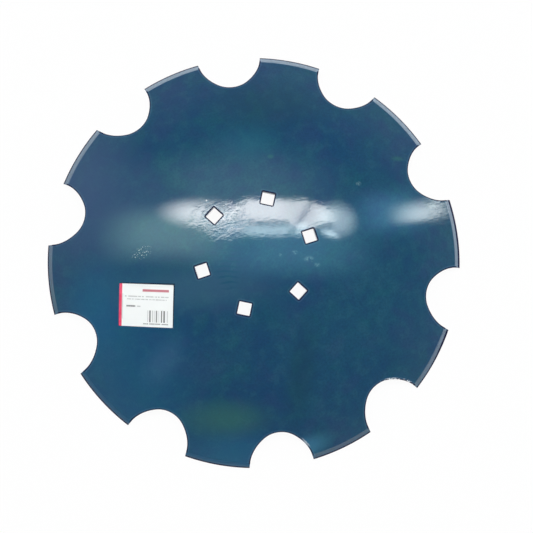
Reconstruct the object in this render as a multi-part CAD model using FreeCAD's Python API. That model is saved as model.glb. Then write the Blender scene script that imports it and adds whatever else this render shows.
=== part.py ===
"""A notched disc blade for a disc harrow, lying on its rim with the domed side up.

The blade is one piece of dished steel plate. Both faces are parts of two spheres with one
centre, so the plate has the same thickness everywhere. The rim is ground to a bevel on the
domed side, bays are punched out of it all round, and a ring of square holes takes the
square-necked bolts that hold the blade to its hub. A paper label is stuck to the domed face.

Frame: millimetres, +Z up along the blade's axis towards the crown of the dome, origin on
that axis at the height of the rim's lowest edge, and +X towards the first bolt hole. A
bearing is an angle about +Z from +X. A slope is the angle at the spheres' centre between
the axis and a point on the plate, which is also how far the plate leans there.
"""
import FreeCAD, Part
import os
from math import acos, asin, atan2, cos, degrees, hypot, radians, sin, sqrt, tan

# Plate
disc_diameter = 610.0
plate_thickness = 6.0
hollow_radius = 644.0  # radius of the hollow face's sphere, which sets how deep the dish is

# Rim
bevel_width = 12.0  # how much of the domed face the bevel takes, along the plate
rim_land = 1.5  # square edge that the bevel leaves above the hollow face
rim_round = 1.0  # radius between the bevel and the square edge

# Bays in the rim
notch_count = 10
notch_depth = 51.5  # from the rim circle in towards the axis, level with the floor
notch_mouth = 94.0  # straight across, from corner to corner
notch_bottom_radius = 34.0
notch_side_radius = 67.0
notch_edge_bevel = 0.9  # where the punch rolled the domed face over the bay's edge
first_notch_bearing = 6.9
drift_once = 0.6  # degrees by which the spacing swings, once round the rim
drift_twice = 1.1  # degrees by which it swings twice round the rim

# Square bolt holes
bolt_count = 6
bolt_circle = 158.0
bolt_square = 17.5
bolt_corner_radius = 0.8

# Paper label on the domed face
label_length = 80.0
label_height = 60.0
label_thickness = 0.15
label_lift = 0.25  # adhesive and paint ripple between the paper and the plate
label_corner_radius = 1.0
label_inset = 134.5  # from the rim circle in to the label's middle
label_bearing = 186.9
label_turn = -20.2  # bearing of the label's long side, the way its lines would read

# What follows from them
domed_radius = hollow_radius + plate_thickness
rim_slope = asin(disc_diameter / 2 / (hollow_radius + rim_land))
notch_bottom_slope = asin((disc_diameter / 2 - notch_depth) / domed_radius)
centre = FreeCAD.Vector(0, 0, -hollow_radius * cos(rim_slope))
label_distance = disc_diameter / 2 - label_inset
cutter_reach = 4 * plate_thickness  # how far a punch stands past both faces
trim_reach = 3 * plate_thickness  # how far the trimming solid stands past the hollow face
trim_rise = disc_diameter / 2  # how far its bevel is carried on, past the crown
UP = FreeCAD.Vector(0, 0, 1)
ACROSS = FreeCAD.Vector(0, 1, 0)


def point_on(radius, slope):
    """The point in the XZ plane at a radius from the spheres' centre and a slope."""
    return centre + FreeCAD.Vector(radius * sin(slope), 0, radius * cos(slope))


def rounded_corner(before, corner, after, radius):
    """The start, middle and end of the arc that rounds the corner between two straight runs."""
    back = (before - corner).normalize()
    ahead = (after - corner).normalize()
    half = acos(back.dot(ahead)) / 2
    inward = (back + ahead).normalize()
    start = corner + back * (radius / tan(half))
    middle = corner + inward * (radius / sin(half) - radius)
    end = corner + ahead * (radius / tan(half))
    return start, middle, end


def face_of(edges):
    """The flat face inside a closed chain of edges."""
    return Part.Face(Part.Wire(edges))


def line(start, end):
    """A straight edge."""
    return Part.makeLine(start, end)


def arc(start, middle, end):
    """A circular edge through three points."""
    return Part.Arc(start, middle, end).toShape()


def stand_on_plate(shape, slope, bearing):
    """Move a shape from the origin on to the domed face.

    Its +Z turns to the plate's outward normal and its +X points down the dome, away from
    the axis.
    """
    turn = FreeCAD.Rotation(UP, bearing) * FreeCAD.Rotation(ACROSS, degrees(slope))
    place = centre + turn.multVec(UP) * domed_radius
    moved = shape.copy()
    moved.Placement = FreeCAD.Placement(place, turn)
    return moved


def rounded_rectangle(length, width, corner):
    """A flat face about the origin, its length along X, with round corners."""
    corners = []
    for number, (side_x, side_y) in enumerate(((1, 1), (-1, 1), (-1, -1), (1, -1))):
        middle_x = side_x * (length / 2 - corner)
        middle_y = side_y * (width / 2 - corner)
        spots = []
        for share in (0, 0.5, 1):
            angle = radians(90 * (number + share))
            spots.append(FreeCAD.Vector(middle_x + corner * cos(angle),
                                        middle_y + corner * sin(angle), 0))
        corners.append(spots)
    edges = []
    for number, spots in enumerate(corners):
        next_spots = corners[(number + 1) % len(corners)]
        edges.append(arc(*spots))
        edges.append(line(spots[-1], next_spots[0]))
    return face_of(edges)


def trim_section():
    """Half of the solid that trims the plate at its rim, cut through the axis.

    Its outer side is the rim as it is ground: the square edge, a small round and the bevel.
    It reaches past the hollow face below and past the crown above.
    """
    foot = point_on(hollow_radius - trim_reach, rim_slope)
    corner = point_on(hollow_radius + rim_land, rim_slope)
    bevel_top = point_on(domed_radius, rim_slope - bevel_width / domed_radius)
    round_start, round_middle, round_end = rounded_corner(foot, corner, bevel_top, rim_round)
    peak = bevel_top + (bevel_top - corner).normalize() * trim_rise
    floor_middle = FreeCAD.Vector(0, 0, foot.z)
    peak_middle = FreeCAD.Vector(0, 0, peak.z)
    return face_of([
        line(floor_middle, foot),
        line(foot, round_start),
        arc(round_start, round_middle, round_end),
        line(round_end, peak),
        line(peak, peak_middle),
        line(peak_middle, floor_middle),
    ])


def ball(radius):
    """A ball about the plate's centre, turned so that its poles and seam stay off the plate."""
    return Part.makeSphere(radius, centre, -ACROSS)


def dished_plate():
    """The plate between two balls, trimmed and bevelled at its rim."""
    trim = trim_section().revolve(FreeCAD.Vector(0, 0, 0), UP, 360)
    return ball(domed_radius).common(trim).cut(ball(hollow_radius))


def notch_bearing(number):
    """Bearing of a bay's middle: an even share of the turn, plus the two swings."""
    even = first_notch_bearing + number * 360.0 / notch_count
    once = drift_once * cos(radians(even))
    twice = drift_twice * sin(radians(2 * even))
    return even + once + twice


def notch_punch(punch_slope):
    """The solid that one bay takes out, standing square to the plate at the bay's middle.

    Its outline has a round bottom that runs into two wider side arcs. Each side arc touches
    the bottom arc and ends at a corner of the mouth, and from there the outline runs
    straight on past the rim.
    """
    rim_radius = disc_diameter / 2
    bottom_x = domed_radius * sin(notch_bottom_slope - punch_slope)
    mouth_y = notch_mouth / 2
    mouth_level = sqrt(rim_radius ** 2 - mouth_y ** 2)
    rim_rise = (hollow_radius + rim_land) * cos(rim_slope)
    mouth_x = mouth_level * cos(punch_slope) - rim_rise * sin(punch_slope)

    bottom_centre_x = bottom_x + notch_bottom_radius
    spare = notch_side_radius - notch_bottom_radius
    to_mouth = hypot(mouth_x - bottom_centre_x, mouth_y)
    aim = atan2(mouth_y, mouth_x - bottom_centre_x)
    swing = acos((notch_side_radius ** 2 - spare ** 2 - to_mouth ** 2) / (2 * spare * to_mouth))
    join_angle = aim + swing
    side_centre_x = bottom_centre_x - spare * cos(join_angle)
    side_centre_y = -spare * sin(join_angle)
    mouth_angle = atan2(mouth_y - side_centre_y, mouth_x - side_centre_x)
    halfway_angle = (join_angle + mouth_angle) / 2

    def bottom_point(angle):
        x = bottom_centre_x + notch_bottom_radius * cos(angle)
        return FreeCAD.Vector(x, notch_bottom_radius * sin(angle), 0)

    def side_point(angle):
        x = side_centre_x + notch_side_radius * cos(angle)
        return FreeCAD.Vector(x, side_centre_y + notch_side_radius * sin(angle), 0)

    def other_side(point):
        return FreeCAD.Vector(point.x, -point.y, 0)

    join = bottom_point(join_angle)
    bottom = FreeCAD.Vector(bottom_x, 0, 0)
    halfway = side_point(halfway_angle)
    mouth = side_point(mouth_angle)
    straight_on = FreeCAD.Vector(sin(mouth_angle), -cos(mouth_angle), 0)
    beyond = mouth + straight_on * notch_depth
    outline = face_of([
        arc(join, bottom, other_side(join)),
        arc(other_side(join), other_side(halfway), other_side(mouth)),
        line(other_side(mouth), other_side(beyond)),
        line(other_side(beyond), beyond),
        line(beyond, mouth),
        arc(mouth, halfway, join),
    ])
    outline.translate(UP * -cutter_reach)
    return outline.extrude(UP * 2 * cutter_reach)


def bolt_punch():
    """The square solid that one bolt hole takes out, with slightly round corners."""
    outline = rounded_rectangle(bolt_square, bolt_square, bolt_corner_radius)
    outline.translate(UP * -cutter_reach)
    return outline.extrude(UP * 2 * cutter_reach)


def lies_on_sphere(edge, radius):
    """Whether an edge lies on the sphere of that radius about the plate's centre."""
    span = edge.LastParameter - edge.FirstParameter
    for share in (0.1, 0.5, 0.9):
        spot = edge.valueAt(edge.FirstParameter + share * span)
        if abs((spot - centre).Length - radius) > 0.001:
            return False
    return True


def notch_edges(blade):
    """The edges where the bays meet the domed face, inside the bevel."""
    bevel_slope = rim_slope - bevel_width / domed_radius
    holes_end = bolt_circle / 2 + bolt_square
    found = []
    for edge in blade.Edges:
        if not lies_on_sphere(edge, domed_radius):
            continue
        middle = edge.valueAt((edge.FirstParameter + edge.LastParameter) / 2)
        distance = hypot(middle.x, middle.y)
        if holes_end < distance < domed_radius * sin(bevel_slope) - 0.01:
            found.append(edge)
    return found


def disc_blade():
    """The dished plate with its bays and bolt holes punched out."""
    notch_slope = (notch_bottom_slope + rim_slope) / 2
    bay = notch_punch(notch_slope)
    hole = bolt_punch()
    bolt_slope = asin(bolt_circle / 2 / domed_radius)
    punches = []
    for number in range(notch_count):
        punches.append(stand_on_plate(bay, notch_slope, notch_bearing(number)))
    for number in range(bolt_count):
        punches.append(stand_on_plate(hole, bolt_slope, number * 360.0 / bolt_count))
    blade = dished_plate().cut(punches)
    return blade.makeChamfer(notch_edge_bevel, notch_edges(blade))


def paper_label():
    """A rectangle of thin paper that follows the dome."""
    label_slope = asin(label_distance / domed_radius)
    outline = rounded_rectangle(label_length, label_height, label_corner_radius)
    outline.rotate(FreeCAD.Vector(0, 0, 0), UP, label_turn - label_bearing)
    outline.translate(UP * -cutter_reach)
    cutter = stand_on_plate(outline.extrude(UP * 2 * cutter_reach), label_slope, label_bearing)
    under_radius = domed_radius + label_lift
    return ball(under_radius + label_thickness).common(cutter).cut(ball(under_radius))


def write_parts():
    """Write each piece to its own file."""
    os.makedirs("parts", exist_ok=True)
    pieces = {"disc_blade": disc_blade(), "paper_label": paper_label()}
    for name, shape in pieces.items():
        solid = shape.Solids[0]
        box = solid.optimalBoundingBox()
        print(name, "valid", solid.isValid(), "solids", len(shape.Solids),
              "volume", round(solid.Volume), "faces", len(solid.Faces),
              "box", round(box.XMin, 3), round(box.XMax, 3), round(box.YMin, 3),
              round(box.YMax, 3), round(box.ZMin, 3), round(box.ZMax, 3))
        solid.exportStep("parts/" + name + ".step")


write_parts()
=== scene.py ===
"""Dresses a notched harrow disc blade: blue enamel on dished steel, a ground rim and a paper label.

The blade lies on a pale floor with its dome up, and the camera looks down on it. Lengths are in
metres, +Z is up along the blade's axis and +X points to the first bolt hole. A slope is the angle at
the centre of the plate's two balls between the axis and a point, and a bearing turns about the axis.
"""
from math import acos, asin, atan2, cos, degrees, hypot, pi, radians, sin, sqrt, tan
import bpy
import numpy as np
from mathutils import Matrix, Vector


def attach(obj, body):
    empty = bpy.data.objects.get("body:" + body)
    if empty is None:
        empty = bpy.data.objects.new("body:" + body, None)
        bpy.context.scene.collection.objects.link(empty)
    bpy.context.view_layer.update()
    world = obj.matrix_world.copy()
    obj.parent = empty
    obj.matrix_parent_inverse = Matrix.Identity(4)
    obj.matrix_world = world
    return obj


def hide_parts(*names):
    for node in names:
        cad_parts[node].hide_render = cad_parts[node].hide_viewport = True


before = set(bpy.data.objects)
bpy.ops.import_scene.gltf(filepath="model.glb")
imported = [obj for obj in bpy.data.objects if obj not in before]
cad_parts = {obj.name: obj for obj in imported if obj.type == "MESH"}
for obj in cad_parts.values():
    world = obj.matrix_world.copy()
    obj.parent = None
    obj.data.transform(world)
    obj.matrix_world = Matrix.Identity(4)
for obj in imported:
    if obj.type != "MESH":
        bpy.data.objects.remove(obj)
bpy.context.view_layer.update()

# Plate and rim
disc_radius = 0.305
hollow_radius = 0.644
domed_radius = 0.65
bevel_width = 0.012
rim_land = 0.0015
rim_round = 0.001

# Bays
bay_count = 10
bay_depth = 0.0515
bay_mouth = 0.094
bay_bottom_radius = 0.034
bay_side_radius = 0.067
bay_roll = 0.0012
first_bay_bearing = 6.9
drift_once = 0.6
drift_twice = 1.1

# Square bolt holes
bolt_count = 6
bolt_circle_radius = 0.079
bolt_square = 0.0175
bolt_corner_radius = 0.0008
bolt_edge_roll = 0.0005

# Paper label
label_length = 0.08
label_height = 0.06
label_thickness = 0.00015
label_lift = 0.00025
label_ripple = 0.00005
label_curl_top = 0.0006
label_curl_right = 0.0007
label_corner_radius = 0.001
label_distance = 0.1705
label_bearing = radians(186.9)
label_turn = radians(-20.2)

# What follows from them
rim_slope = asin(disc_radius / (hollow_radius + rim_land))
bevel_slope = rim_slope - bevel_width / domed_radius
bay_bottom_slope = asin((disc_radius - bay_depth) / domed_radius)
bay_slope = (bay_bottom_slope + rim_slope) / 2
bolt_slope = asin(bolt_circle_radius / domed_radius)
label_slope = asin(label_distance / domed_radius)
plate_centre = np.array([0.0, 0.0, -hollow_radius * cos(rim_slope)])

# How finely the skin is divided, and where its parts meet
columns = 600
bay_half_columns = 22
bevel_rows = 5
land_rows = 3
ring_rows = 15
skirt_rows = 19
skirt_crowding = 1.7
roll_taper = 0.16
hole_roll_rows = 4
hole_corner_points = 4
label_columns = 81
label_rows = 61
mouth_halvings = 50
mouth_reach = 0.02
hub_radius = 0.11
eye_radius = 0.05
shoulder_radius = 0.236
spoke_steps = 20
eye_columns_each = 24


# Shapes of the plate

def smooth(share):
    """A share that starts and ends gently: share*share*(3 - 2*share)."""
    return share * share * (3 - 2 * share)


def vectors(*parts):
    """Arrays or numbers for x, y and z, drawn out to one shape and put together as vectors."""
    return np.stack(np.broadcast_arrays(*parts), axis=-1)


def on_ball(radius, slope, bearing):
    """Points on a ball about the plate's centre: the slope leans from the axis, the bearing turns."""
    flat = radius * np.sin(slope)
    return plate_centre + vectors(flat * np.cos(bearing), flat * np.sin(bearing), radius * np.cos(slope))


def tool_axes(slope, bearing):
    """The three directions of a tool standing square on the dome: down the dome, across it, and out."""
    down = vectors(np.cos(slope) * np.cos(bearing), np.cos(slope) * np.sin(bearing), -np.sin(slope))
    across = vectors(-np.sin(bearing), np.cos(bearing), 0.0)
    out = vectors(np.sin(slope) * np.cos(bearing), np.sin(slope) * np.sin(bearing), np.cos(slope))
    return down, across, out


def under_tool(u, v, radius, slope, bearing):
    """Points of a ball right under the spots u, v of a tool: out is the root of R*R - u*u - v*v."""
    down, across, out = tool_axes(slope, bearing)
    height = np.sqrt(radius ** 2 - u ** 2 - v ** 2)
    return plate_centre + u[..., None] * down + v[..., None] * across + height[..., None] * out


def unit(ways):
    """Vectors shortened or stretched to length one."""
    return ways / np.linalg.norm(ways, axis=-1, keepdims=True)


def outwards(points):
    """Directions of length one from the plate's centre to points."""
    return unit(points - plate_centre)


def bay_bearings():
    """Bearings of the bays' middles: even shares of the turn, with one swing once and one twice round."""
    even = np.radians(first_bay_bearing + np.arange(bay_count + 1) * 360.0 / bay_count)
    drift = drift_once * np.cos(even) + drift_twice * np.sin(2 * even)
    return even + np.radians(drift)


def bay_outline_arcs():
    """Centres and angles of the bay's two arcs, worked out from its depth, mouth and radii."""
    bottom = domed_radius * sin(bay_bottom_slope - bay_slope)
    half_mouth = bay_mouth / 2
    level = sqrt(disc_radius ** 2 - half_mouth ** 2)
    rise = (hollow_radius + rim_land) * cos(rim_slope)
    mouth = level * cos(bay_slope) - rise * sin(bay_slope)
    bottom_centre = bottom + bay_bottom_radius
    spare = bay_side_radius - bay_bottom_radius
    reach = hypot(mouth - bottom_centre, half_mouth)
    aim = atan2(half_mouth, mouth - bottom_centre)
    swing = acos((bay_side_radius ** 2 - spare ** 2 - reach ** 2) / (2 * spare * reach))
    join = aim + swing
    side_u = bottom_centre - spare * cos(join)
    side_v = -spare * sin(join)
    end = atan2(half_mouth - side_v, mouth - side_u)
    return bottom_centre, side_u, side_v, join, end


bottom_centre_u, side_centre_u, side_centre_v, join_angle, mouth_angle = bay_outline_arcs()
bottom_run = bay_bottom_radius * (pi - join_angle)
side_run = bay_side_radius * (join_angle - mouth_angle)


def bay_outline(run):
    """The bay's outline and its side direction at a run from the bottom, where a negative run mirrors it.

    It is an arc of the bottom radius, then a tangent arc of the side radius, then straight on.
    """
    side = np.where(run < 0, -1.0, 1.0)
    run = np.abs(run)
    low = pi - run / bay_bottom_radius
    high = join_angle - np.clip(run - bottom_run, 0, side_run) / bay_side_radius
    past = np.clip(run - bottom_run - side_run, 0, None)
    in_bottom = run < bottom_run
    angle = np.where(in_bottom, low, high)
    u = np.where(in_bottom, bottom_centre_u + bay_bottom_radius * np.cos(low),
                 side_centre_u + bay_side_radius * np.cos(high) + past * sin(mouth_angle))
    v = np.where(in_bottom, bay_bottom_radius * np.sin(low),
                 side_centre_v + bay_side_radius * np.sin(high) - past * cos(mouth_angle))
    return u, side * v, np.cos(angle), side * np.sin(angle)


def slope_at(run, radius):
    """Slope of the point where the bay's outline meets a ball."""
    u, v, _, _ = bay_outline(run)
    height = np.sqrt(radius ** 2 - u ** 2 - v ** 2)
    return np.arccos((height * cos(bay_slope) - u * sin(bay_slope)) / radius)


def run_to_slope(radius, slope):
    """The run at which the bay's outline reaches a slope on a ball, by halving the range."""
    low = np.zeros(np.shape(radius))
    high = low + bottom_run + side_run + mouth_reach
    for _ in range(mouth_halvings):
        middle = (low + high) / 2
        short = slope_at(middle, radius) < slope
        low = np.where(short, middle, low)
        high = np.where(short, high, middle)
    return (low + high) / 2


def rim_profile():
    """The rim from the bevel's inner edge to the hollow face, as radii, slopes and outward leans.

    It is the straight bevel, a round tangent to both neighbours, and the square land.
    """
    def spot(radius, slope):
        """A point of the section: its distances from the axis and above the plate's centre."""
        return np.array([radius * sin(slope), radius * cos(slope)])

    corner = spot(hollow_radius + rim_land, rim_slope)
    inner = spot(domed_radius, bevel_slope)
    foot = spot(hollow_radius, rim_slope)
    back = unit(foot - corner)
    ahead = unit(inner - corner)
    half = acos(back @ ahead) / 2
    round_centre = corner + unit(back + ahead) * rim_round / sin(half)
    start = corner + back * rim_round / tan(half)
    end = corner + ahead * rim_round / tan(half)
    bevel_lean = atan2(*(end - round_centre))
    land_lean = atan2(*(start - round_centre))
    share = np.linspace(0, 1, bevel_rows)[:, None]
    leans = np.linspace(bevel_lean, land_lean, bevel_rows)
    bevel = inner + (end - inner) * share
    turn = round_centre + rim_round * np.stack([np.sin(leans), np.cos(leans)], axis=-1)
    land = start + (foot - start) * np.linspace(0, 1, land_rows)[:, None]
    spots = np.concatenate([bevel, turn[1:], land[1:]])
    radii = np.hypot(spots[:, 0], spots[:, 1])
    slopes = np.arctan2(spots[:, 0], spots[:, 1])
    return radii, slopes, bevel_lean, leans, land_lean


def lean_out(lean, bearing):
    """Directions that lean from the axis by an angle, towards a bearing."""
    return outwards(on_ball(1.0, lean, bearing))


# Building a skin from patches

def put_in_scene(name, data):
    """A new object in the scene, of a mesh, a lamp or a camera."""
    made = bpy.data.objects.new(name, data)
    bpy.context.scene.collection.objects.link(made)
    return made


class Skin:
    """Patches of points with their own normals, joined wherever two patches have the same point."""

    def __init__(self):
        self.points, self.normals, self.quads, self.triangles = [], [], [], []
        self.count = 0

    def add(self, points, normals, closed=False):
        """One patch: a grid of points, and the outward normal that each of them shows in this patch."""
        if closed:
            points = np.concatenate([points, points[:, :1]], axis=1)
            normals = np.concatenate([normals, normals[:, :1]], axis=1)
        rows, across = points.shape[:2]
        index = self.count + np.arange(rows * across).reshape(rows, across)
        quads = np.stack([index[:-1, :-1], index[:-1, 1:], index[1:, 1:], index[1:, :-1]], axis=-1)
        facing = np.cross(points[1:, 1:] - points[:-1, :-1], points[1:, :-1] - points[:-1, 1:])
        if (facing * normals[:-1, :-1]).sum() < 0:
            quads = quads[..., ::-1]
        self.points.append(points.reshape(-1, 3))
        self.normals.append(normals.reshape(-1, 3))
        self.quads.append(quads.reshape(-1, 4))
        self.count += rows * across

    def add_fan(self, ring, tip, ring_normals, tip_normal):
        """A round of triangles from a closed ring to one tip."""
        number = len(ring)
        index = self.count + np.arange(number)
        triangles = vectors(index, np.roll(index, -1), self.count + number)
        facing = np.cross(np.roll(ring, -1, axis=0) - ring, tip - ring)
        if (facing * tip_normal).sum() < 0:
            triangles = triangles[:, ::-1]
        self.points.append(np.concatenate([ring, tip[None]]))
        self.normals.append(np.concatenate([ring_normals, tip_normal[None]]))
        self.triangles.append(triangles)
        self.count += number + 1

    def make(self, name, measures):
        """The finished object; each measure is a function of the points, kept as a named attribute."""
        points = np.concatenate(self.points)
        normals = np.concatenate(self.normals)
        faces = [np.concatenate(self.quads)]
        if self.triangles:
            faces.append(np.concatenate(self.triangles))
        joined, where = np.unique(points, axis=0, return_inverse=True)
        where = where.reshape(-1)
        corners = np.concatenate([face.reshape(-1) for face in faces])
        sizes = np.concatenate([np.full(len(face), face.shape[1]) for face in faces])
        starts = np.concatenate([[0], np.cumsum(sizes)[:-1]])
        mesh = bpy.data.meshes.new(name)
        mesh.vertices.add(len(joined))
        mesh.vertices.foreach_set("co", joined.astype(np.float32).reshape(-1))
        mesh.loops.add(len(corners))
        mesh.loops.foreach_set("vertex_index", where[corners].astype(np.int32))
        mesh.polygons.add(len(sizes))
        mesh.polygons.foreach_set("loop_start", starts.astype(np.int32))
        mesh.update(calc_edges=True)
        mesh.validate()
        mesh.shade_smooth()
        mesh.normals_split_custom_set(normals[corners])
        for measure, function in measures.items():
            layer = mesh.attributes.new(measure, "FLOAT", "POINT")
            layer.data.foreach_set("value", function(joined).astype(np.float32))
        return put_in_scene(name, mesh)


# The blade

def rim_and_bay_edges(radii, slopes):
    """Rows of points over the plate's outer edge, from the domed face to the hollow one.

    On a tooth the rows follow the rim's radii and slopes between the walls of its two bays. In a bay
    they roll over the edge and go down the wall: inset is roll*(1 - sin), depth is roll*(1 - cos), and
    then the depth grows evenly to the hollow face. Where the two meet, they share one column.
    """
    rows = len(radii)
    bearings = bay_bearings()
    runs = run_to_slope(radii, slopes)
    corner_u, corner_v, _, _ = bay_outline(runs)
    corner_height = np.sqrt(radii ** 2 - corner_u ** 2 - corner_v ** 2)
    corner_offset = np.arctan2(corner_v, corner_u * cos(bay_slope) + corner_height * sin(bay_slope))

    points = np.zeros((rows, columns, 3))
    sector = columns // bay_count
    tooth = sector - 2 * bay_half_columns
    share = np.linspace(0, 1, tooth + 1)
    along = np.arange(-bay_half_columns, bay_half_columns + 1) / bay_half_columns
    wall_rows = rows - bevel_rows
    wall_share = np.concatenate([np.zeros(bevel_rows), np.arange(1, wall_rows + 1) / wall_rows])
    turn = np.concatenate([np.linspace(0, pi / 2, bevel_rows), np.full(wall_rows, pi / 2)])
    roll = bay_roll * smooth(np.clip((1 - np.abs(along)) / roll_taper, 0, 1))
    run = along * (runs[0] + wall_share[:, None] * (runs[-1] - runs[0]))
    u, v, normal_u, normal_v = bay_outline(run)
    inset = roll * (1 - np.sin(turn))[:, None]
    depth = roll * (1 - np.cos(turn))[:, None]
    depth = depth + wall_share[:, None] * (domed_radius - hollow_radius - roll)
    u = u + normal_u * inset
    v = v + normal_v * inset
    bays = []
    teeth = []
    for number in range(bay_count):
        first = number * sector
        bearing = bearings[number]
        bay = under_tool(u, v, domed_radius - depth, bay_slope, bearing)
        bay[:, 0] = on_ball(radii, slopes, bearing - corner_offset)
        bay[:, -1] = on_ball(radii, slopes, bearing + corner_offset)
        down, across, _ = tool_axes(bay_slope, bearing)
        wall = -normal_u[..., None] * down - normal_v[..., None] * across
        mixed = np.sin(turn)[:, None, None] * wall + np.cos(turn)[:, None, None] * outwards(bay)
        mixed[:, 0] = wall[:, 0]
        mixed[:, -1] = wall[:, -1]
        bays.append((bay, unit(mixed)))
        points[:, np.arange(first - bay_half_columns, first + bay_half_columns + 1) % columns] = bay
        start = bearing + corner_offset[:, None]
        end = bearings[number + 1] - corner_offset[:, None]
        tooth_bearings = start + (end - start) * share
        spots = on_ball(radii[:, None], slopes[:, None], tooth_bearings)
        teeth.append((spots, tooth_bearings))
        place = first + bay_half_columns + np.arange(1, tooth)
        points[:, place] = spots[:, 1:-1]
    return points, bays, teeth


def face_rows(radius, edge):
    """Rows of points over one face, from the hub ring to the outline.

    The rings' bearings pass smoothly from even steps at the hub to the bays' own sectors at the
    shoulder. From there straight lines of directions run to the outline, closer together near it.
    """
    sector = columns // bay_count
    bearings = bay_bearings()
    number = np.arange(columns)
    local = (number % sector) / sector
    start = bearings[number // sector]
    end = bearings[number // sector + 1]
    at_shoulder = start + (end - start) * local
    step = 2 * pi / columns
    at_hub = step * (round(bearings[0] / step) + number)
    share = np.linspace(0, 1, ring_rows)
    slopes = np.arcsin((hub_radius + (shoulder_radius - hub_radius) * share) / radius)
    ring_bearings = at_hub + (at_shoulder - at_hub) * smooth(share)[:, None]
    rings = on_ball(radius, slopes[:, None], ring_bearings)
    from_shoulder = outwards(rings[-1])
    to_edge = outwards(edge)
    near = 1 - (1 - np.linspace(0, 1, skirt_rows)[1:]) ** skirt_crowding
    lines = unit(from_shoulder + (to_edge - from_shoulder) * near[:, None, None])
    skirt = plate_centre + radius * lines
    skirt[-1] = edge
    return np.concatenate([rings, skirt])


def square_outline(extra):
    """The bolt hole's outline, grown outwards by some extra: four quarter rounds joined by straights.

    Each side runs from the middle of one round to the middle of the next one.
    """
    half = bolt_square / 2 + extra
    corner = bolt_corner_radius + extra
    flat = half - corner
    sides = []
    for number, steps in enumerate((columns // bolt_count, spoke_steps, eye_columns_each, spoke_steps)):
        rise = np.linspace(-pi / 4, 0, hole_corner_points)
        first = np.stack([flat + corner * np.cos(rise), -flat + corner * np.sin(rise)], axis=-1)
        second = first[::-1] * (1, -1)
        middle = np.linspace(first[-1], second[0], steps + 3 - 2 * hole_corner_points)[1:-1]
        side = np.concatenate([first, middle, second])[:-1]
        turn = number * pi / 2
        sides.append(side @ np.array([[cos(turn), sin(turn)], [-sin(turn), cos(turn)]]))
    return np.concatenate(sides)


def hub_patches(skin, radius, outer_ring, facing, extra):
    """The middle of one face: six rounds of rows about the square holes, and the eye inside them.

    Round a hole the rows pass from the hole's outline to the outline of its sixth of the ring. The
    eye has plain rings that close at the axis. The hole's outlines are handed back.
    """
    step = 2 * pi / columns
    first_column = round(bay_bearings()[0] / step)
    sixth = pi / bolt_count
    eye_total = bolt_count * eye_columns_each
    eye_bearings = -sixth + np.arange(eye_total) * 2 * pi / eye_total
    eye_slope = asin(eye_radius / radius)
    eye_ring = on_ball(radius, eye_slope, eye_bearings)
    spoke_slopes = np.arcsin(np.linspace(hub_radius, eye_radius, spoke_steps + 1) / radius)
    shares = np.array([0, 0.05, 0.12, 0.22, 0.36, 0.56, 0.78, 1.0])
    spokes = []
    for number in range(bolt_count):
        bearing = (2 * number - 1) * sixth
        spoke = on_ball(radius, spoke_slopes, bearing)
        spoke[0] = outer_ring[(round(bearing / step) - first_column) % columns]
        spoke[-1] = eye_ring[number * eye_columns_each]
        spokes.append(spoke)
    outline = square_outline(extra)
    holes = []
    for number in range(bolt_count):
        start = round((2 * number - 1) * sixth / step) - first_column
        arc = outer_ring[(start + np.arange(columns // bolt_count)) % columns]
        far_spoke = spokes[(number + 1) % bolt_count]
        eye_arc = eye_ring[(number * eye_columns_each + np.arange(eye_columns_each + 1)) % eye_total]
        border = np.concatenate([arc, far_spoke[:-1], eye_arc[:0:-1], spokes[number][:0:-1]])
        hole = under_tool(outline[:, 0], outline[:, 1], radius, bolt_slope, number * 2 * sixth)
        inner = outwards(hole)
        outer = outwards(border)
        rows = plate_centre + radius * unit(inner + (outer - inner) * shares[:, None, None])
        rows[0] = hole
        rows[-1] = border
        skin.add(rows, facing * outwards(rows), closed=True)
        holes.append(hole)
    eye_slopes = eye_slope * np.array([1, 0.8, 0.6, 0.4, 0.2])
    eye = on_ball(radius, eye_slopes[:, None], eye_bearings)
    eye[0] = eye_ring
    eye_normals = facing * outwards(eye)
    skin.add(eye, eye_normals, closed=True)
    tip = plate_centre + np.array([0.0, 0.0, radius])
    skin.add_fan(eye[-1], tip, eye_normals[-1], np.array([0.0, 0.0, facing]))
    return holes


def hole_walls(skin, upper, lower):
    """The walls of the square holes: a small roll at the top, and then straight down."""
    turn = np.linspace(0, pi / 2, hole_roll_rows)
    outline = square_outline(0.0)
    side = unit(square_outline(bolt_edge_roll) - outline)
    for number in range(bolt_count):
        bearing = number * 2 * pi / bolt_count
        inset = bolt_edge_roll * (1 - np.sin(turn))[:, None]
        depth = bolt_edge_roll * (1 - np.cos(turn))[:, None] + np.zeros(len(outline))
        u = outline[:, 0] + side[:, 0] * inset
        v = outline[:, 1] + side[:, 1] * inset
        roll = under_tool(u, v, domed_radius - depth, bolt_slope, bearing)
        roll[0] = upper[number]
        down, across, _ = tool_axes(bolt_slope, bearing)
        wall = -side[:, :1] * down - side[:, 1:] * across
        mixed = np.sin(turn)[:, None, None] * wall + np.cos(turn)[:, None, None] * outwards(roll)
        skin.add(roll, unit(mixed), closed=True)
        straight = np.stack([roll[-1], (roll[-1] + lower[number]) / 2, lower[number]])
        skin.add(straight, np.broadcast_to(wall, straight.shape), closed=True)


def bay_distance(points):
    """How far each point is from the nearest bay's wall, along the plate.

    In the tool's plane of the nearest bay, it is the distance to the bottom arc's circle or to the
    side arc's circle, whichever arc the point lies across from.
    """
    u, v = in_tool_plane(points, bay_bearings()[:-1], bay_slope)
    v = np.abs(v)
    to_bottom = np.hypot(u - bottom_centre_u, v)
    to_side = np.hypot(u - side_centre_u, v - side_centre_v)
    in_bottom = np.arctan2(v, u - bottom_centre_u) > join_angle
    return np.where(in_bottom, to_bottom - bay_bottom_radius, to_side - bay_side_radius)


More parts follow.
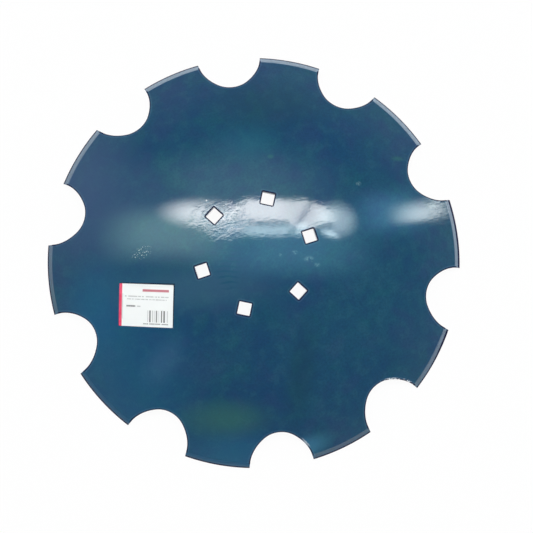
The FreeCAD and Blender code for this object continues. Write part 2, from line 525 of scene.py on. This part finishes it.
def hole_distance(points):
    """How far each point is from the nearest square hole's wall: the distance to a rounded square."""
    u, v = in_tool_plane(points, np.arange(bolt_count) * 2 * pi / bolt_count, bolt_slope)
    flat = bolt_square / 2 - bolt_corner_radius
    past_u, past_v = np.abs(u) - flat, np.abs(v) - flat
    outside = np.hypot(np.clip(past_u, 0, None), np.clip(past_v, 0, None))
    return outside + np.clip(np.maximum(past_u, past_v), None, 0) - bolt_corner_radius


def in_tool_plane(points, bearings, slope):
    """Each point drawn on to the domed ball, in the plane of the tool that stands nearest to it."""
    bearing = np.arctan2(points[:, 1], points[:, 0])
    gap = np.abs((bearing[:, None] - bearings + pi) % (2 * pi) - pi)
    down, across, _ = tool_axes(slope, bearings[gap.argmin(axis=1)])
    ray = domed_radius * outwards(points)
    return (ray * down).sum(axis=-1), (ray * across).sum(axis=-1)


def cut_distance(points):
    """How far each point is from the nearest bay or hole."""
    return np.minimum(bay_distance(points), hole_distance(points))


def disc_blade_skin():
    """The whole blade: two faces, the rim and bay edges between them, and the six square holes."""
    skin = Skin()
    radii, slopes, bevel_lean, round_leans, land_lean = rim_profile()
    edges, bays, teeth = rim_and_bay_edges(radii, slopes)
    domed = face_rows(domed_radius, edges[0])
    hollow = face_rows(hollow_radius, edges[-1])
    skin.add(domed, outwards(domed), closed=True)
    skin.add(hollow, -outwards(hollow), closed=True)
    bevel = np.s_[:bevel_rows]
    past_bevel = np.s_[bevel_rows - 1:]
    rounded = np.s_[bevel_rows - 1:2 * bevel_rows - 1]
    land = np.s_[2 * bevel_rows - 2:]
    for bay, normals in bays:
        skin.add(bay[bevel], normals[bevel])
        skin.add(bay[past_bevel], normals[past_bevel])
    for tooth, bearings in teeth:
        skin.add(tooth[bevel], lean_out(bevel_lean, bearings[bevel]))
        skin.add(tooth[rounded], lean_out(round_leans[:, None], bearings[rounded]))
        skin.add(tooth[land], lean_out(land_lean, bearings[land]))
    upper = hub_patches(skin, domed_radius, domed[0], 1.0, bolt_edge_roll)
    lower = hub_patches(skin, hollow_radius, hollow[0], -1.0, 0.0)
    hole_walls(skin, upper, lower)
    return skin.make("painted_disc_blade", {"cut_edge": cut_distance})


# The label

def label_sheet():
    """The label as a thin sheet on the dome, with a print map of its own.

    Its outline is a rectangle whose corners are rounded by drawing each corner square on to a
    quarter disc. It follows the ball and ripples by ripple*(1 + wave), where the wave is a product of
    two sines. Near its top and right edges it curls up by the square of the way to the edge.
    """
    across = np.linspace(-1, 1, label_columns)
    up = np.linspace(-1, 1, label_rows)
    x, y = np.meshgrid(across * label_length / 2, up * label_height / 2)
    over_x = np.clip(np.abs(x) - label_length / 2 + label_corner_radius, 0, None)
    over_y = np.clip(np.abs(y) - label_height / 2 + label_corner_radius, 0, None)
    reach = np.hypot(over_x, over_y)
    pull = 1 - np.divide(np.maximum(over_x, over_y), reach, out=np.ones_like(reach), where=reach > 0)
    x = x - np.sign(x) * over_x * pull
    y = y - np.sign(y) * over_y * pull
    turn = label_turn - label_bearing
    u = x * cos(turn) - y * sin(turn)
    v = x * sin(turn) + y * cos(turn)
    wave = np.sin(x * 310 + 1.5 * np.sin(y * 120)) * np.sin(y * 260 + 2.0)
    top = np.clip(y / label_height * 2 - 0.86, 0, None) / 0.14
    right = np.clip(x / label_length * 2 - 0.9, 0, None) / 0.1
    curl = label_curl_top * top ** 2 + label_curl_right * right ** 2
    under = domed_radius + label_lift + label_ripple * (1 + wave) + curl
    upper = under_tool(u, v, under + label_thickness, label_slope, label_bearing)
    lower = under_tool(u, v, under, label_slope, label_bearing)
    skin = Skin()

    def grid_normals(points):
        """Normals of a grid: the cross product of its two directions."""
        return unit(np.cross(np.gradient(points, axis=1), np.gradient(points, axis=0)))

    skin.add(upper, grid_normals(upper))
    skin.add(lower, -grid_normals(lower))
    down, sideways, _ = tool_axes(label_slope, label_bearing)
    long_way = cos(turn) * down + sin(turn) * sideways
    short_way = -sin(turn) * down + cos(turn) * sideways
    for rows, outward in ((np.s_[0, :], -short_way), (np.s_[-1, :], short_way),
                          (np.s_[:, 0], -long_way), (np.s_[:, -1], long_way)):
        strip = np.stack([upper[rows], lower[rows]])
        skin.add(strip, np.broadcast_to(outward, strip.shape))
    sheet = skin.make("printed_label", {})
    mesh = sheet.data
    spots = np.zeros(len(mesh.vertices) * 3, np.float32)
    mesh.vertices.foreach_get("co", spots)
    ray = domed_radius * outwards(spots.reshape(-1, 3))
    print_map = np.stack([ray @ long_way / label_length + 0.5, ray @ short_way / label_height + 0.5], axis=-1)
    corner = np.zeros(len(mesh.loops), np.int32)
    mesh.loops.foreach_get("vertex_index", corner)
    layer = mesh.uv_layers.new(name="print_map")
    layer.data.foreach_set("uv", print_map[corner].astype(np.float32).reshape(-1))
    return sheet


# Finishes

def paint_chip(red, green, blue):
    """A colour given in display values from 0 to 255, as the shader's linear values."""
    share = np.array([red, green, blue]) / 255.0
    linear = np.where(share <= 0.04045, share / 12.92, ((share + 0.055) / 1.055) ** 2.4)
    return (*linear.tolist(), 1.0)


def field_operator(operation):
    """A field's method for one operator, and its reflected form. Each adds a Math node."""
    return (lambda self, other: self.math(operation, self, other),
            lambda self, other: self.math(operation, other, self))


class Field:
    """A number that varies over a surface. Arithmetic on it adds Math nodes."""

    def __init__(self, finish, socket):
        self.finish, self.socket = finish, socket

    def math(self, operation, *values):
        """The Math node of an operation on some values."""
        return self.finish.node("ShaderNodeMath", {"operation": operation}, dict(enumerate(values)))

    def ease(self, low, high):
        """0 below low and 1 above high, or the other way round, with a smooth pass between."""
        return self.finish.node("ShaderNodeMapRange", {"interpolation_type": "SMOOTHSTEP"},
                                {"Value": self, "From Min": low, "From Max": high})

    def __abs__(self):
        return self.math("ABSOLUTE", self)

    __add__, __radd__ = field_operator("ADD")
    __sub__, __rsub__ = field_operator("SUBTRACT")
    __mul__, __rmul__ = field_operator("MULTIPLY")
    __truediv__, __rtruediv__ = field_operator("DIVIDE")
    __pow__, __rpow__ = field_operator("POWER")


def oval(x, y, place, half, turn, soft):
    """1 inside an oval round a place and 0 outside: soft is the share of it that fades."""
    x, y = x - place[0], y - place[1]
    u = x * cos(turn) + y * sin(turn)
    v = y * cos(turn) - x * sin(turn)
    away = ((u / half[0]) ** 2 + (v / half[1]) ** 2) ** 0.5
    return away.ease(1.0, 1.0 - soft)


class Finish:
    """The nodes of a material, a lamp or the room: node adds one, and put_out adds the last."""

    def __init__(self, owner):
        self.owner = owner
        owner.use_nodes = True
        self.tree = owner.node_tree
        self.tree.nodes.clear()

    def node(self, kind, settings=None, inputs=None, output=0):
        """A node of a kind: its settings first, then its inputs, each a plain value or a field."""
        made = self.tree.nodes.new(kind)
        for key, value in (settings or {}).items():
            setattr(made, key, value)
        for key, value in (inputs or {}).items():
            if isinstance(value, Field):
                self.tree.links.new(value.socket, made.inputs[key])
            else:
                made.inputs[key].default_value = value
        return Field(self, made.outputs[output])

    def coordinates(self):
        """Object coordinates."""
        return self.node("ShaderNodeTexCoord", output="Object")

    def parts(self, vector, letters="XYZ"):
        """The parts of a vector that the letters name."""
        return [self.node("ShaderNodeSeparateXYZ", None, {0: vector}, letter) for letter in letters]

    def noise(self, where, scale, detail, rough=0.5, warp=0.0):
        """Cloudy noise from 0 to 1, with as many clouds in a unit of length as the scale says."""
        return self.node("ShaderNodeTexNoise", None, {"Vector": where, "Scale": scale, "Detail": detail,
                                                      "Roughness": rough, "Distortion": warp}, "Fac")

    def blend(self, share, first, second):
        """Two colours mixed by a share."""
        return self.node("ShaderNodeMix", {"data_type": "RGBA"}, {0: share, 6: first, 7: second}, 2)

    def between(self, share, first, second):
        """Two paint chips mixed by a share."""
        return self.blend(share, paint_chip(*first), paint_chip(*second))

    def cover(self, share, chip):
        """Lay a share of a paint chip over the finish's colour."""
        self.colour = self.blend(share, self.colour, paint_chip(*chip))

    def surface(self, colour, rough, others, bump=None):
        """A Principled surface, with a bump of a height and a depth."""
        inputs = {"Base Color": colour, "Roughness": rough, **others}
        if bump:
            height, depth = bump
            inputs["Normal"] = self.node("ShaderNodeBump", None, {"Distance": depth, "Height": height})
        return self.node("ShaderNodeBsdfPrincipled", None, inputs)

    def join(self, share, first, second):
        """Two surfaces mixed by a share."""
        return self.node("ShaderNodeMixShader", None, {0: share, 1: first, 2: second})

    def put_out(self, surface, kind="ShaderNodeOutputMaterial"):
        """Link a surface to the output, and hand back what the nodes belong to."""
        made = self.tree.nodes.new(kind)
        self.tree.links.new(surface.socket, made.inputs["Surface"])
        return self.owner


# The bearing that lies level in the camera's view
level_bearing = radians(-18.2)

# Each broad patch of blue on the dome: middle, half sizes, colour, strength, and a turn where it isn't level
tone_patches_and_reflection = (
    ((-0.23, -0.13), (0.13, 0.26), (26, 92, 131), 0.38),
    ((-0.11, -0.262), (0.11, 0.05), (26, 99, 136), 0.45),
    # A painted reflection: the grey-violet patch at the upper left.
    ((-0.2, 0.15), (0.12, 0.15), (64, 88, 124), 0.57),
    ((-0.169, -0.101), (0.06, 0.03), (84, 126, 160), 0.15, 0.59),
    ((0.008, -0.18), (0.105, 0.032), (9, 53, 79), 0.5, 1.13),
    ((-0.112, -0.206), (0.088, 0.038), (53, 107, 92), 0.5),
    ((0.038, 0.156), (0.062, 0.04), (37, 107, 127), 0.28),
    ((-0.016, -0.283), (0.05, 0.022), (60, 126, 158), 0.55, level_bearing + 0.35),
    ((0.063, 0.126), (0.007, 0.005), (50, 118, 104), 0.4),
    ((0.243, 0.073), (0.014, 0.006), (42, 110, 94), 0.4),
    ((0.085, 0.205), (0.125, 0.06), (24, 64, 80), 0.4),
    ((-0.245, -0.005), (0.07, 0.1), (30, 96, 138), 0.4),
    ((-0.103, -0.018), (0.17, 0.048), (56, 97, 120), 0.52))

# Each smear: its middle and half sizes
smear_marks = (
    ((0.031, -0.013), (0.003, 0.003)), ((0.0509, -0.0158), (0.006, 0.0045)),
    ((0.0679, -0.0314), (0.0095, 0.006)), ((0.0752, -0.041), (0.007, 0.0045)),
    ((0.1359, 0.0652), (0.0045, 0.004)), ((0.1718, 0.0521), (0.0055, 0.0045)))


class BladePaint(Finish):
    """The blade's finish, with fields for where a spot lies on it and for the noise of the paint."""

    def __init__(self, owner):
        super().__init__(owner)
        self.where = self.coordinates()
        self.x, self.y, z = self.parts(self.where)
        out_squared = self.x * self.x + self.y * self.y
        rise = z - float(plate_centre[2])
        self.out = out_squared ** 0.5
        self.from_centre = (out_squared + rise * rise) ** 0.5
        self.on_dome = self.from_centre.ease(hollow_radius + 0.0002, hollow_radius + 0.0006)
        self.cut = self.node("ShaderNodeAttribute", {"attribute_name": "cut_edge"}, None, "Fac")
        self.clouds = self.noise(self.where, 9.0, 3.0, 0.55, 0.6)
        self.drifts = self.noise(self.where, 26.0, 3.0, 0.5, 0.4)
        self.blots = self.noise(self.where, 62.0, 2.0, 0.5, 0.3)
        self.grain = self.noise(self.where, 330.0, 3.0, 0.65)

    def towards(self, bearing):
        """How far the spot lies towards a bearing, as a share of the disc's radius."""
        return (self.x * cos(bearing) + self.y * sin(bearing)) / disc_radius

    def patch(self, place, half, soft, turn=level_bearing):
        """1 inside an oval on the plate and 0 outside."""
        return oval(self.x, self.y, place, half, turn, soft)

    def mark(self, share, chip):
        """Lay a share of a paint chip over the colour, on the dome alone."""
        self.cover(share * self.on_dome, chip)


def mottle(coat):
    """Blue that drifts towards violet, green, grey and dark."""
    coat.colour = coat.between(coat.clouds.ease(0.35, 0.66), (15, 66, 102), (22, 76, 103))
    for noise, low, high, share, chip in (
            (coat.drifts, 0.5, 0.66, 0.36, (38, 62, 106)), (coat.drifts, 0.46, 0.34, 0.28, (11, 85, 94)),
            (coat.blots, 0.52, 0.66, 0.3, (38, 90, 110)), (coat.blots, 0.46, 0.34, 0.25, (18, 53, 99)),
            (coat.grain, 0.35, 0.7, 0.38, (8, 47, 79))):
        coat.cover(noise.ease(low, high) * share, chip)


def marks_and_painted_reflection(coat):
    """Broad patches on the dome, one a painted reflection, a place wiped in fine lines, smears, pale specks.
    """
    for place, half, chip, share, *turn in tone_patches_and_reflection:
        coat.mark(coat.patch(place, half, 0.9, *turn) * share, chip)
    phase = (coat.y * cos(level_bearing) - coat.x * sin(level_bearing)) * 830.0 + coat.drifts * 9.0
    lines = phase.math("SINE", phase).ease(0.1, 0.9)
    coat.mark(coat.patch((-0.0416, -0.0034), (0.022, 0.044), 0.5) * lines * 0.6, (2, 68, 96))
    smears = [coat.patch(place, half, 0.7) for place, half in smear_marks]
    smeared = sum(smears[1:], smears[0]) * (coat.blots + coat.grain).ease(0.85, 1.15)
    coat.mark(smeared * 0.45, (123, 160, 166))
    specks = coat.patch((-0.152, 0.052), (0.018, 0.01), 0.5, 0.1)
    specks = specks * coat.noise(coat.where, 520.0, 1.0).ease(0.62, 0.68)
    specks = specks + coat.patch((-0.043, 0.0925), (0.0013, 0.0013), 0.4)
    coat.mark(specks * 0.75, (224, 232, 234))


def ground_bevel_with_highlight(coat):
    """Lay thin pale paint on the bevel, palest at the upper right as painted highlight; hand back its share.
    """
    # Painted highlight: towards the upper right the pale paint is stronger, and the bevel starts a little
    # further in.
    side = coat.towards(radians(50.0))
    start = domed_radius * sin(bevel_slope) - side.ease(-0.8, 0.0) * 0.0013
    bevel = coat.out.ease(start - 0.0003, start + 0.0003) * coat.on_dome
    coat.cover(bevel * (side.ease(-0.7, 0.8) * 0.9 + (coat.grain - 0.5) * 0.3), (123, 142, 162))
    return bevel


def chipped_edges(coat):
    """Lay a light band and some chips along the cuts, and hand back the chips' share."""
    ragged = coat.cut + (coat.noise(coat.where, 420.0, 2.0, 0.6) - 0.5) * 0.002
    light_band = ragged.ease(0.0046, 0.003) * coat.cut.ease(0.0016, 0.0024)
    coat.mark(light_band * 0.14, (105, 140, 166))
    chips = coat.patch((0.1387, -0.2364), (0.04, 0.026), 0.5, 2.2) * ragged.ease(0.003, 0.0022)
    chips = chips * coat.noise(coat.where, 300.0, 2.0).ease(0.5, 0.56)
    scuff = coat.patch((-0.01, -0.27), (0.018, 0.01), 0.6, 1.2) * ragged.ease(0.004, 0.0026)
    bare = (chips + scuff * 0.6) * coat.on_dome
    coat.cover(bare * 0.85, (226, 232, 239))
    return bare


def label_shadow(coat):
    """Lay a shadow under the label's raised edges: a soft box moved a little up and to the right."""
    right, up, soft = 0.001, 0.0016, 0.0004
    half_length, half_height = label_length / 2 - 0.0005, label_height / 2
    x = coat.x - label_distance * cos(label_bearing)
    y = coat.y - label_distance * sin(label_bearing)
    along = abs(x * cos(label_turn) + y * sin(label_turn) - right)
    beside = abs(y * cos(label_turn) - x * sin(label_turn) - up)
    shadow = along.ease(half_length + soft, half_length - soft)
    coat.mark(shadow * beside.ease(half_height + soft, half_height - soft) * 0.85, (15, 26, 48))


def orange_peel(coat):
    """The height of the enamel's skin: fine waves, deeper over the middle and in two crumpled places."""
    waves = coat.node("ShaderNodeMapping", {"vector_type": "TEXTURE"},
                      {"Vector": coat.where, "Rotation": (0.0, 0.0, level_bearing + 0.35),
                       "Scale": (1.7, 1.0, 1.0)})
    crumple = coat.patch((-0.036, 0.057), (0.058, 0.042), 0.7)
    crumple = crumple + coat.patch((0.282, -0.02), (0.045, 0.035), 0.8) * 0.35
    middle = coat.patch((0.045, 0.045), (0.135, 0.06), 0.6)
    torn = coat.noise(waves, 95.0, 2.0, 0.6).ease(0.42, 0.62)
    peel = coat.noise(waves, 240.0, 2.0, 0.55) * (0.18 + middle * 0.26 + crumple * (0.3 + torn * 0.5))
    fine_peel = coat.noise(waves, 620.0, 3.0, 0.65) * (0.05 + middle * 0.09 + crumple * (0.4 + torn))
    return peel + fine_peel


def painted_shade_lines(coat, bare):
    """1 on the lines of painted shade along the rim and the cuts, where the rim's line is wider at the right.
    """
    rim_width = 0.0019 + coat.towards(level_bearing).ease(0.82, 0.93) * 0.0017
    rim_line = (coat.out + rim_width).ease(disc_radius - 0.0007, disc_radius)
    on_top = coat.from_centre.ease(domed_radius - 0.0013, domed_radius - 0.0006)
    cut_line = coat.cut.ease(0.0023, 0.0014) * on_top * (1 - bare)
    return rim_line.math("MAXIMUM", rim_line, cut_line)


def on_hole_wall(coat):
    """1 on the walls of the square holes: near the bolts' circle and between the plate's two faces."""
    near_bolts = coat.out.ease(bolt_circle_radius + 0.018, bolt_circle_radius + 0.016)
    under_dome = coat.from_centre.ease(domed_radius - 0.0012, domed_radius - 0.0018)
    above_hollow = coat.from_centre.ease(hollow_radius + 0.0001, hollow_radius + 0.0003)
    return near_bolts * under_dome * above_hollow


def blue_enamel():
    """Glossy blue enamel: mottled, with orange peel, broad patches with a painted reflection among them,
    marks of handling and storage, and painted shade in dark lines along the rim and cut edges.

    The bevel has a painted highlight at the upper right, the bevels at the lower left take a darker matt
    blue as painted shade, and the walls of the square holes are pale.
    """
    coat = BladePaint(bpy.data.materials.new("blue_enamel"))
    mottle(coat)
    marks_and_painted_reflection(coat)
    bevel = ground_bevel_with_highlight(coat)
    bare = chipped_edges(coat)
    label_shadow(coat)
    tinted = {"IOR": 1.59, "Specular Tint": (0.8, 0.95, 1.0, 1.0)}
    enamel = coat.surface(coat.colour, 0.045 + coat.clouds * 0.03 + bare * 0.4, tinted,
                          (orange_peel(coat), 0.00012))
    # Painted shade: a darker matt blue that the bevels take towards the lower left.
    shaded_bevel_blue = coat.surface(coat.between(coat.clouds, (22, 81, 118), (28, 92, 129)),
                             0.5 + coat.grain * 0.2, {"Specular IOR Level": 0.1})
    # Painted shade: a dark, rough blue for the lines along the rim and the cut edges.
    shaded_edge = coat.surface(coat.between(coat.grain, (20, 22, 46), (32, 38, 76)),
                             0.85, {"Specular IOR Level": 0.05})
    pale_wall = coat.surface(coat.between(coat.grain, (234, 241, 247), (255, 255, 255)),
                             0.35 + coat.grain * 0.1, {}, (coat.grain, 0.00005))
    # Painted shade on the bevels towards the lower left, stronger on the bevel's inner part.
    shaded_bevel = coat.out.ease(disc_radius - 0.0035, disc_radius - 0.005) * 0.55 + 0.3
    shaded_bevel = shaded_bevel * bevel * coat.towards(radians(222.0)).ease(0.6, 0.85)
    skin = coat.join(shaded_bevel, enamel, shaded_bevel_blue)
    outside = coat.join(painted_shade_lines(coat, bare), skin, shaded_edge)
    return coat.put_out(coat.join(on_hole_wall(coat), outside, pale_wall))


def label_paper():
    """White coated paper with a red stripe, painted shade of a fold beside it, and plain bars and lines of
    print.
    """
    paper = Finish(bpy.data.materials.new("label_paper"))
    where = paper.coordinates()
    along, upwards = paper.parts(paper.node("ShaderNodeUVMap", {"uv_map": "print_map"}), "XY")
    across = along * (label_length * 1000)
    down = (1 - upwards) * (label_height * 1000)

    def box(left, right, top, bottom, soft=0.35):
        """1 inside a box given in millimetres from the label's left and top edges."""
        wide = across.ease(left - soft, left + soft) * across.ease(right + soft, right - soft)
        tall = down.ease(top - soft, top + soft) * down.ease(bottom + soft, bottom - soft)
        return wide * tall

    def broken(line, share, seed):
        """A line broken into short dashes of uneven length."""
        cells = paper.node("ShaderNodeCombineXYZ", None, {0: across, 1: seed})
        return line * paper.noise(cells, 0.55, 2.0).ease(share - 0.04, share + 0.04)

    fibres = paper.noise(where, 900.0, 3.0, 0.6)
    clouds = paper.noise(where, 60.0, 2.0, 0.5)
    paper.colour = paper.between(clouds * 0.5 + fibres * 0.2, (253, 253, 253), (246, 247, 248))
    for sides, share, seed, strength, grey in (
            ((8.3, 73.0, 16.9, 18.4), 0.46, 3.1, 0.48, (112, 112, 114)),
            ((11.7, 70.5, 20.9, 22.2), 0.46, 7.4, 0.52, (112, 112, 114)),
            ((11.4, 24.8, 30.2, 32.4), 0.36, 1.3, 0.8, (74, 74, 78)),
            ((36.8, 73.0, 54.8, 56.4), 0.42, 5.9, 0.65, (86, 86, 90))):
        paper.cover(broken(box(*sides), share, seed) * strength, grey)
    paper.cover(box(27.4, 32.4, 30.6, 32.2) * 0.45, (104, 104, 108))
    paper.cover(box(35.0, 73.3, 7.2, 10.6) * 0.85, (190, 60, 88))
    for left, width, share in ((42.9, 1.2, 0.35), (45.6, 2.1, 0.85), (49.9, 1.3, 0.4), (52.8, 0.9, 0.3),
                               (55.2, 2.0, 0.75), (59.0, 0.9, 0.25), (62.8, 1.6, 0.9), (66.2, 2.1, 0.9),
                               (71.3, 1.2, 0.35)):
        paper.cover(box(left, left + width, 36.7, 53.2, 0.25) * share, (78, 78, 80))
    # Painted shade: a grey strip where the paper folds beside the red stripe.
    paper.cover(box(4.4, 6.2, 14.0, 50.0, 0.9) * clouds, (176, 178, 184))
    worn = paper.noise(where, 140.0, 3.0, 0.6).ease(0.3, 0.75)
    red = paper.between(worn, (230, 58, 96), (242, 92, 124))
    colour = paper.blend(across.ease(4.7, 4.1), paper.colour, red)
    return paper.put_out(paper.surface(colour, 0.42 + fibres * 0.12, {"IOR": 1.45},
                                       (fibres + clouds * 2.0, 0.00004)))


def studio_floor():
    """A pale floor that looks white to the camera and in reflections, and still takes the shadow."""
    cloth = Finish(bpy.data.materials.new("studio_floor"))
    clouds = cloth.noise(cloth.coordinates(), 3.0, 2.0)
    matt = cloth.node("ShaderNodeBsdfDiffuse", None,
                      {"Color": cloth.between(clouds, (238, 238, 239), (244, 244, 245))})
    plain = cloth.node("ShaderNodeEmission", None, {"Color": (1.0, 1.0, 1.0, 1.0), "Strength": 1.0})
    seen = cloth.node("ShaderNodeLightPath", None, None, "Is Camera Ray")
    mirrored = cloth.node("ShaderNodeLightPath", None, None, "Is Glossy Ray")
    share = seen.math("MAXIMUM", seen, mirrored) * 0.96
    return cloth.put_out(cloth.join(share, matt, plain))


# Floor, light and camera

lamp_distance = 20.0
lamp_aim = Vector((0.0, 0.0, 0.05))
lamp_fade = 0.45
camera_place = Vector((-0.06374, -0.11676, 1.29715))
camera_right = Vector((0.9495, -0.31217, 0.03151))
camera_up = Vector((0.30827, 0.94688, 0.09156))
camera_view = Vector((0.05842, 0.07723, -0.9953))


def seen_from_camera(across, up):
    """The direction at some degrees to the right and up from the way back to the camera."""
    across, up = radians(across), radians(up)
    return (camera_right * (sin(across) * cos(up)) + camera_up * sin(up)
            - camera_view * (cos(across) * cos(up)))


def turned(right, up, back):
    """The turn of an object that has these directions as its own x, y and z."""
    return Matrix((right, up, back)).transposed().to_4x4()


def softbox(name, left, right, low, high, brightness, tint, pattern=None):
    """A flat lamp facing the blade, that spans angles as the blade sees them and fades at its edges.

    A pattern hands back the share of light in a direction, from its degrees across and up.
    """
    away = seen_from_camera((left + right) / 2, (low + high) / 2)
    side = camera_up.cross(away).normalized()
    top = away.cross(side).normalized()
    lamp = bpy.data.lights.new(name, "AREA")
    lamp.shape = "RECTANGLE"
    lamp.size = 2 * lamp_distance * tan(radians((right - left) / 2))
    lamp.size_y = 2 * lamp_distance * tan(radians((high - low) / 2))
    lamp.energy = brightness * pi * lamp.size * lamp.size_y
    lamp.color = tint
    glow = Finish(lamp)
    spread = glow.parts(glow.node("ShaderNodeNewGeometry", None, None, "Parametric"), "XY")
    x, y = spread[0] - 0.5, spread[1] - 0.5
    if pattern:
        share = pattern(*lamp_angles(x * lamp.size, y * lamp.size_y, away * lamp_distance, side, top))
    else:
        share = abs(x).ease(0.5, 0.5 - lamp_fade) * abs(y).ease(0.5, 0.5 - lamp_fade)
    glow.put_out(glow.node("ShaderNodeEmission", None, {"Strength": share}), "ShaderNodeOutputLight")
    place = Matrix.Translation(away * lamp_distance + lamp_aim)
    put_in_scene(name, lamp).matrix_world = place @ turned(side, top, away)


def lamp_angles(x, y, middle, side, top):
    """The degrees across and up, from the way back to the camera, of a spot on a flat lamp."""
    ways = [x * side.dot(way) + y * top.dot(way) + middle.dot(way)
            for way in (camera_right, camera_up, -camera_view)]
    level = (ways[0] ** 2 + ways[2] ** 2) ** 0.5
    across = ways[0].math("ARCTAN2", ways[0], ways[2])
    up = ways[1].math("ARCTAN2", ways[1], level)
    return across * degrees(1), up * degrees(1)


def slanting_gap(across, up):
    """A dark line that leans across the strip, as the joint of two lamps leaves it."""
    return 1 - abs(across - 19.1 - (up - 23.3) * 0.84).ease(1.3, 0.3) * 0.72


def arched_strip(across, up):
    """A shallow arch of light, and a soft round glow at its left end."""
    lower = 21.7 - across.ease(-8.0, 2.0) * 0.4 - across.ease(12.0, 18.0) * 3.0
    lower = lower + across.ease(20.0, 26.0) * 2.0
    upper = 28.3 - across.ease(1.0, -9.0) * 3.6 - across.ease(10.0, 16.0) * 0.45
    upper = upper - across.ease(19.0, 32.0) * 4.0
    arch = up.ease(lower - 0.4, lower + 0.8) * up.ease(upper + 0.3, upper - 0.3)
    arch = arch * across.ease(-14.0, -8.0) * across.ease(33.0, 24.0)
    arch = arch * (1 - across.ease(9.0, 17.0) * 0.2) * slanting_gap(across, up)
    return arch + oval(across, up, (-15.6, 23.7), (17.4, 5.7), 0.0, 0.9) * 0.98


def shelf_and_tail(across, up):
    """A low shelf under the arch, and the broad soft tail at its right end, with a dip and a streak."""
    lower = 16.8 + across.ease(0.0, -12.0) * 0.6
    shelf = up.ease(lower - 0.6, lower + 0.6) * up.ease(20.7, 19.7)
    shelf = shelf * across.ease(-15.5, -12.5) * across.ease(21.5, 17.5)
    tail = oval(across, up, (29.9, 21.2), (9.0, 7.0), 0.0, 0.7)
    dip = 1 - oval(across, up, (26.0, 19.0), (4.2, 1.7), 0.3, 0.7) * 0.62
    streak = oval(across, up, (27.2, 16.9), (4.2, 1.1), -0.35, 0.7)
    return (shelf * 0.95 + tail * dip * 0.72 + streak * 1.3) * slanting_gap(across, up)


def right_patch(across, up):
    """A soft patch with a sharper lower edge, and a thin glint at its far end."""
    body = across.ease(46.0, 61.0) * across.ease(76.0, 64.0)
    body = body * up.ease(17.4, 19.8) * up.ease(25.5, 20.5)
    glint = oval(across, up, (69.0, 21.6), (6.0, 0.9), 0.0, 0.7)
    return body * 1.1 + glint * 0.8


def light_the_scene():
    """A bright arched strip, the shelf and tail below it, a patch at the right, dim boxes and the room."""
    softbox("long_box", -34.0, 40.0, 14.0, 32.0, 15.8, (1.0, 0.85, 0.8), arched_strip)
    softbox("tail_box", -16.0, 42.0, 14.0, 30.0, 8.9, (0.95, 1.0, 1.0), shelf_and_tail)
    softbox("right_box", 46.0, 74.0, 16.0, 28.0, 8.6, (1.0, 0.96, 0.9), right_patch)
    softbox("dim_box", -52.0, 0.0, 5.0, 28.0, 3.0, (0.68, 1.0, 0.86))
    softbox("halo_box", -44.0, 36.0, 14.0, 50.0, 1.0, (0.7, 0.9, 1.0))
    softbox("under_box", -22.0, 46.0, 0.0, 26.0, 2.2, (0.35, 0.82, 1.0))
    softbox("side_box", 32.0, 67.0, 13.0, 31.0, 2.4, (0.27, 0.66, 1.0))
    world = bpy.data.worlds.new("studio_room")
    room = Finish(world)
    height, = room.parts(room.node("ShaderNodeTexCoord", output="Generated"), "Z")
    walls = height.ease(0.7, 0.3) * 0.28 + 0.21
    light = room.node("ShaderNodeBackground", None, {"Color": (1.0, 0.94, 0.93, 1.0), "Strength": walls})
    room.put_out(light, "ShaderNodeOutputWorld")
    bpy.context.scene.world = world


def place_camera():
    """The camera of the photograph: above the dome, a little to one side, upright as it was held."""
    lens = bpy.data.cameras.new("camera")
    lens.lens = 59.44
    lens.sensor_width = 36.0
    camera = put_in_scene("camera", lens)
    camera.matrix_world = Matrix.Translation(camera_place) @ turned(camera_right, camera_up, -camera_view)
    bpy.context.scene.camera = camera


def lay_floor():
    """A flat floor just under the rim."""
    reach, level = 30.0, -0.0003
    mesh = bpy.data.meshes.new("studio_floor")
    corners = [(-reach, -reach, level), (reach, -reach, level), (reach, reach, level), (-reach, reach, level)]
    mesh.from_pydata(corners, [], [(0, 1, 2, 3)])
    mesh.materials.append(studio_floor())
    floor = put_in_scene("studio_floor", mesh)


blade = disc_blade_skin()
blade.data.materials.append(blue_enamel())
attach(blade, "root")
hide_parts("disc_blade")

label = label_sheet()
label.data.materials.append(label_paper())
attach(label, "root")
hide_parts("paper_label")

lay_floor()
light_the_scene()
place_camera()
bpy.context.scene.view_settings.view_transform = "Standard"
